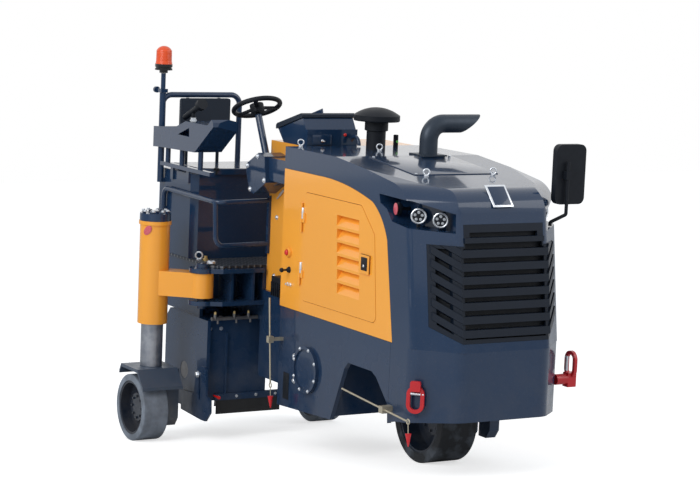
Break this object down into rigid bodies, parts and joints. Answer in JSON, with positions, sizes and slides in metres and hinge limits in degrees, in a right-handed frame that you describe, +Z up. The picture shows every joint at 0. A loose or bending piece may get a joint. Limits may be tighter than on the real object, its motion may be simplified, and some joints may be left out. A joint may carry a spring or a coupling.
{
  "type": "compact wheeled cold planer",
  "caption": "Compact road milling machine on wheels with a fold-in rear lifting column, side milling drum, sloped hood, slatted grille and open operator stand.",
  "frame": {"origin": "on the ground under the middle of the machine's length and width", "axes": "+X forward, +Y to the machine's left, +Z up; it stands nose down on extended rear columns"},
  "size_m": [3.3484, 1.908, 2.7302],
  "materials": {
    "slate_paint": "semi-gloss",
    "yellow_paint": "semi-gloss",
    "rim_paint": "semi-gloss",
    "tyre": "matt",
    "engine_grey": "matt",
    "black_plastic": "matt",
    "seat_vinyl": "satin",
    "exhaust_steel": "satin",
    "lamp": "satin",
    "beacon_orange": "gloss",
    "red_paint": "gloss",
    "dark_steel": "satin",
    "tool_steel": "matt",
    "worn_steel": "satin",
    "zinc": "satin"
  },
  "bodies": {
    "machine": {"chassis": "slate_paint", "front_bumper": "slate_paint", "hood": "slate_paint", "side_panels": "yellow_paint", "engine_block": "engine_grey", "grille": "slate_paint", "grille_mesh": "black_plastic", "headlamps": "lamp", "intake": "black_plastic", "exhaust": "exhaust_steel", "mirror": "black_plastic", "tow_rings": "red_paint", "rear_cowl": "yellow_paint", "control_box": "slate_paint", "rear_frame": "slate_paint", "hydraulic_tank": "slate_paint", "hinge_bracket": "slate_paint", "left_column": "slate_paint", "platform": "slate_paint", "seat_box": "slate_paint", "seat_pad": "seat_vinyl", "backrest": "seat_vinyl", "handrail": "slate_paint", "beacon_mast": "slate_paint", "beacon": "beacon_orange", "console": "slate_paint", "joystick": "black_plastic", "guard_rail": "slate_paint", "steering_console": "slate_paint", "drum_housing": "slate_paint", "front_flap": "black_plastic", "spray_bar": "dark_steel", "gauge_rods": "zinc"},
    "swing_column": {"swing_arm": "yellow_paint", "column_cap": "dark_steel"},
    "right_lift": {"right_leg": "slate_paint"},
    "rear_right_wheel": {"rear_right_tyre": "tyre", "rear_right_rim": "rim_paint"},
    "left_lift": {"left_leg": "slate_paint"},
    "rear_left_wheel": {"rear_left_tyre": "tyre", "rear_left_rim": "rim_paint"},
    "steering_fork": {"front_fork": "slate_paint"},
    "front_wheel": {"front_tyre": "tyre", "front_rim": "rim_paint"},
    "helm": {"steering_wheel": "black_plastic"},
    "cutter": {"drum": "tool_steel"},
    "right_door": {"door_right": "yellow_paint"},
    "left_door": {"door_left": "yellow_paint"},
    "box_lid": {"control_lid": "black_plastic"},
    "shoe": {"side_shoe": "worn_steel"},
    "gate": {"rear_gate": "slate_paint"}
  },
  "joints": [
    {"name": "front_steer", "type": "hinge", "parent": "machine", "child": "steering_fork", "pos_m": [0.82908, 0.311, 0.69822], "axis": [0.0958, 0, 0.9954], "range_deg": [-75, 75]},
    {"name": "front_wheel_spin", "type": "hinge", "parent": "steering_fork", "child": "front_wheel", "pos_m": [0.78978, 0.311, 0.29], "axis": [0, 1, 0], "continuous": true},
    {"name": "right_swing", "type": "hinge", "parent": "machine", "child": "swing_column", "pos_m": [-0.83994, -0.54, 1.05986], "axis": [0.0958, 0, 0.9954], "range_deg": [0, 180]},
    {"name": "right_lift_slide", "type": "slide", "parent": "swing_column", "child": "right_lift", "axis": [0.0958, 0, 0.9954], "range_m": [0, 0.25]},
    {"name": "rear_right_wheel_spin", "type": "hinge", "parent": "right_lift", "child": "rear_right_wheel", "pos_m": [-1.16899, -0.844, 0.23], "axis": [0, 1, 0], "continuous": true},
    {"name": "left_lift_slide", "type": "slide", "parent": "machine", "child": "left_lift", "axis": [0.0958, 0, 0.9954], "range_m": [0, 0.25]},
    {"name": "rear_left_wheel_spin", "type": "hinge", "parent": "left_lift", "child": "rear_left_wheel", "pos_m": [-1.39805, 0.691, 0.23], "axis": [0, 1, 0], "continuous": true},
    {"name": "steering_wheel_turn", "type": "hinge", "parent": "machine", "child": "helm", "pos_m": [-0.74745, -0.153, 2.29166], "axis": [-0.3659, 0, 0.9307], "continuous": true},
    {"name": "drum_spin", "type": "hinge", "parent": "machine", "child": "cutter", "pos_m": [-1.21487, -0.264, 0.46304], "axis": [0, 1, 0], "continuous": true},
    {"name": "door_right_hinge", "type": "hinge", "parent": "machine", "child": "right_door", "pos_m": [0.08231, -0.279, 1.3729], "axis": [-0.0958, 0, -0.9954], "range_deg": [0, 110]},
    {"name": "door_left_hinge", "type": "hinge", "parent": "machine", "child": "left_door", "pos_m": [0.08231, 0.817, 1.3729], "axis": [0.0958, 0, 0.9954], "range_deg": [0, 110]},
    {"name": "control_lid_hinge", "type": "hinge", "parent": "machine", "child": "box_lid", "pos_m": [-0.20441, 0.104, 2.2243], "axis": [0, 1, 0], "range_deg": [0, 90]},
    {"name": "side_shoe_slide", "type": "slide", "parent": "machine", "child": "shoe", "axis": [0.0958, 0, 0.9954], "range_m": [0, 0.1]},
    {"name": "rear_gate_slide", "type": "slide", "parent": "machine", "child": "gate", "axis": [0.0958, 0, 0.9954], "range_m": [0, 0.2]}
  ]
}
